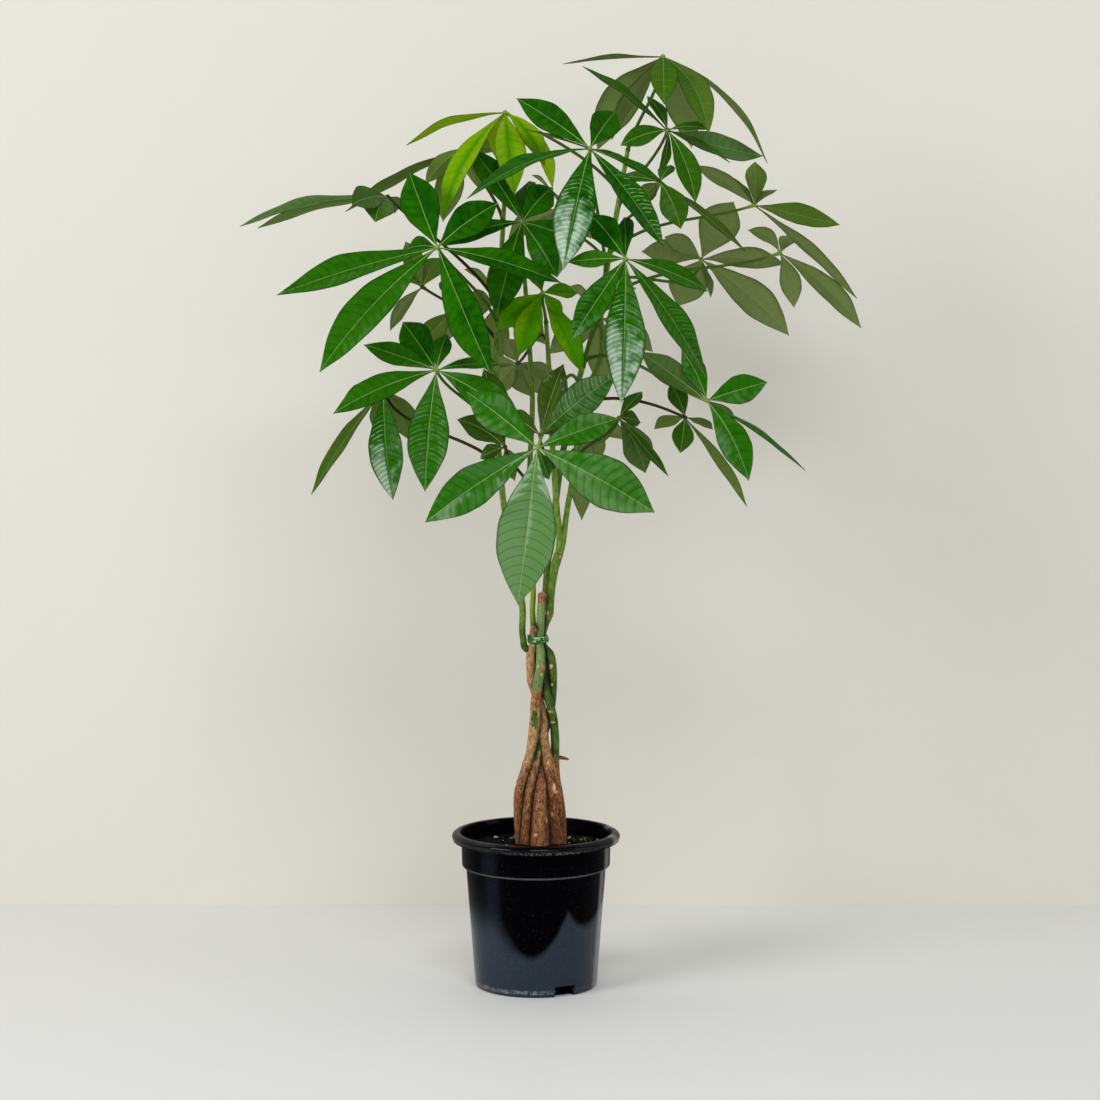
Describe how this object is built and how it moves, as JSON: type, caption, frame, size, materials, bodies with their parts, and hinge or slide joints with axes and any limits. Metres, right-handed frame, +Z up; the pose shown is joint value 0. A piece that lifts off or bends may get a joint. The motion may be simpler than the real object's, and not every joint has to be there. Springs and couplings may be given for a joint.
{
  "type": "potted money tree",
  "caption": "Potted money tree: slim braided stems tied with green wire in a tapered black nursery pot, under a loose round crown of long-stalked, hand-shaped glossy leaves.",
  "frame": {"origin": "on the pot's axis, in the plane of its flat bottom, where it stands on a table", "axes": "+Z up along the pot's axis; -Y towards the side seen in the picture; +X to the right of that view"},
  "size_m": [0.5627, 0.38, 0.837],
  "materials": {
    "pot": "satin",
    "soil": "matte",
    "wire": "satin",
    "bark": "matte",
    "leaf": "satin",
    "young_leaf": "satin"
  },
  "bodies": {
    "root": {"pot": "pot", "soil": "soil", "wire_tie": "wire", "stem_1": "bark", "stem_2": "bark", "stem_3": "bark", "stem_4": "bark", "stem_5": "bark", "leaf_front_low": "leaf", "leaf_front_right": "leaf", "leaf_front_top": "leaf", "leaf_front_left": "leaf", "leaf_low_left": "leaf", "leaf_middle": "young_leaf", "leaf_centre": "leaf", "leaf_young": "young_leaf", "leaf_top": "leaf", "leaf_upper_right": "leaf", "leaf_right": "leaf", "leaf_small_right": "leaf", "leaf_middle_right": "leaf", "leaf_inner_low": "leaf", "leaf_inner_left": "leaf", "leaf_inner_right": "leaf", "leaf_far_left": "leaf", "leaf_left_back": "leaf", "leaf_upper_left": "leaf", "leaf_back_right": "leaf", "leaf_far_right": "leaf", "leaf_right_end": "leaf", "leaf_back_low": "leaf", "leaf_back_centre": "leaf", "leaf_back_left": "leaf", "leaf_behind_left": "leaf", "leaf_back_top": "leaf", "leaf_back_middle": "leaf", "leaf_back_inner": "leaf"}
  },
  "joints": []
}
